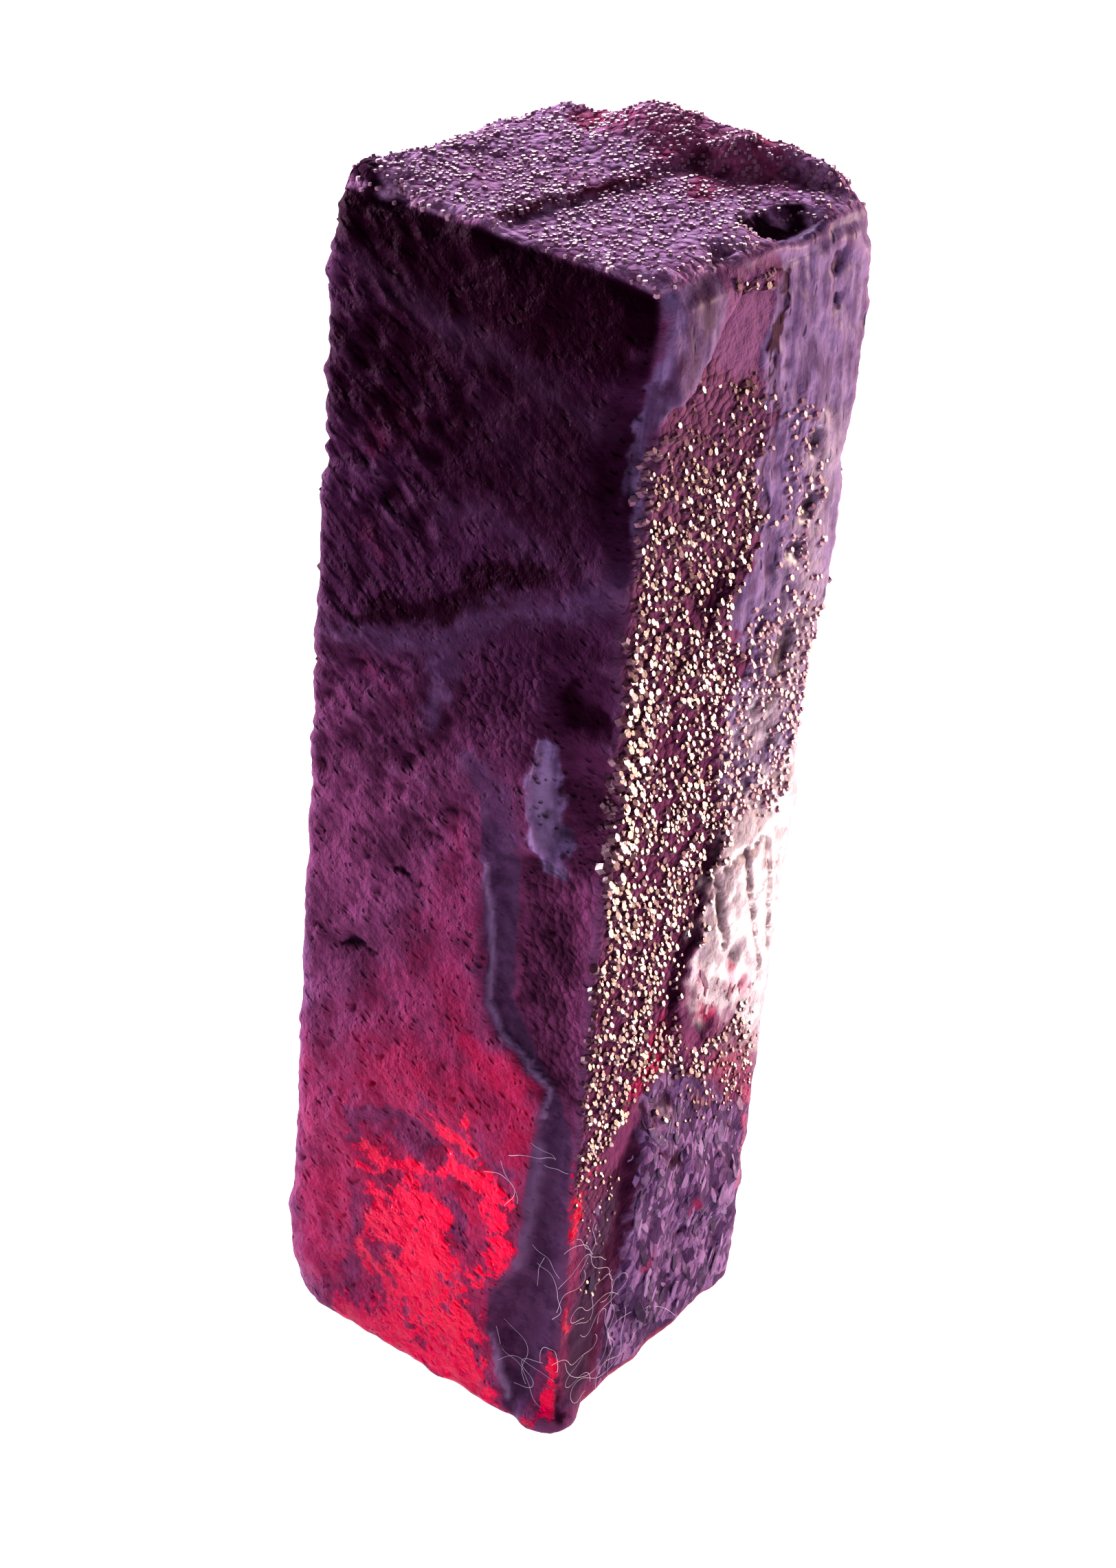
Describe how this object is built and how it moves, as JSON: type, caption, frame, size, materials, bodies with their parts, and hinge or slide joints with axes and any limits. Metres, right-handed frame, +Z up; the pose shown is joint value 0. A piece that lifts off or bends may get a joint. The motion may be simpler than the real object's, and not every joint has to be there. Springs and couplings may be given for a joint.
{
  "type": "rough red beryl crystal",
  "caption": "Four-sided block of rough red beryl that stands on its flat base, with stepped, pitted and chipped faces and a grainy top.",
  "frame": {"origin": "centre of the flat base", "axes": "+Z up along the crystal's length, -Y out of the front face with the red window, +X out of the grainy right face"},
  "size_m": [0.0108, 0.01, 0.0368],
  "materials": {
    "beryl": "frosted, dark plum skin over clear red crystal"
  },
  "bodies": {
    "root": {"crystal": "beryl"}
  },
  "joints": []
}
